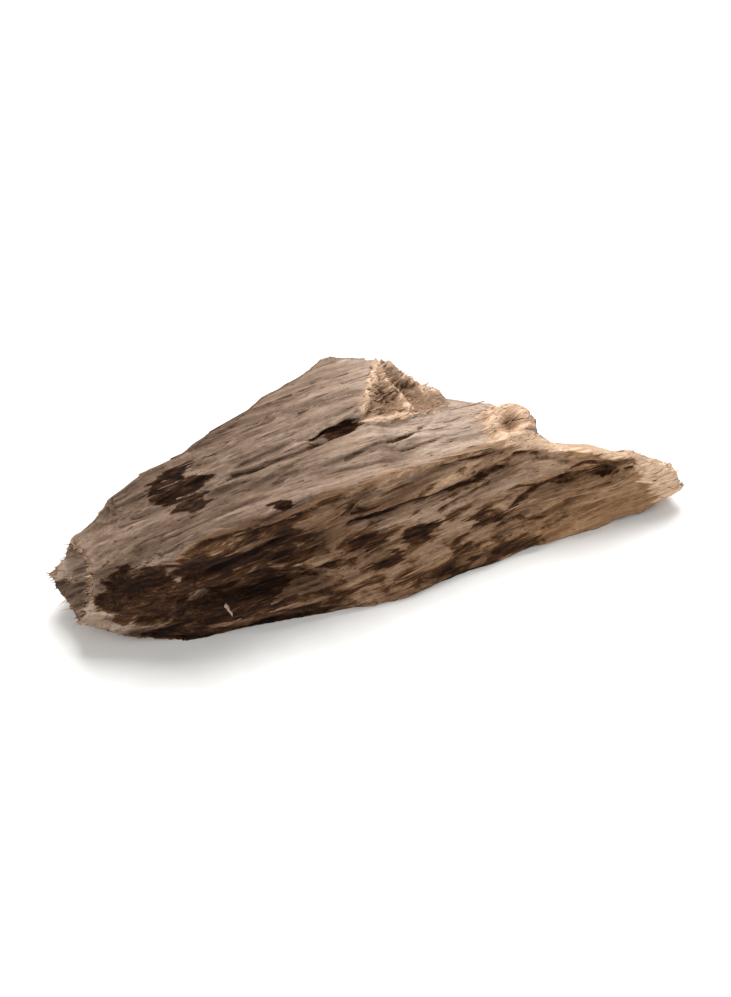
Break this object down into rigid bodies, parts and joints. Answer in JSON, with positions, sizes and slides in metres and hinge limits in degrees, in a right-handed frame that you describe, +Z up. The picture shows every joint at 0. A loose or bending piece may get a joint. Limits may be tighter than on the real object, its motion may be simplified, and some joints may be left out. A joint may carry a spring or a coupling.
{
  "type": "agarwood chip",
  "caption": "Split chip of resin-streaked agarwood with a flat underside, a raised upper layer torn off short, and a long thin tongue at one end.",
  "frame": {"origin": "middle of the chip's bounding box, on the surface that its flat underside lies on", "axes": "+X along the grain towards the thin tongue, +Z up, +Y away from the tall streaked front face"},
  "size_m": [0.0526, 0.0176, 0.0132],
  "materials": {
    "agarwood": "matte"
  },
  "bodies": {
    "root": {"agarwood_chip": "agarwood"}
  },
  "joints": []
}
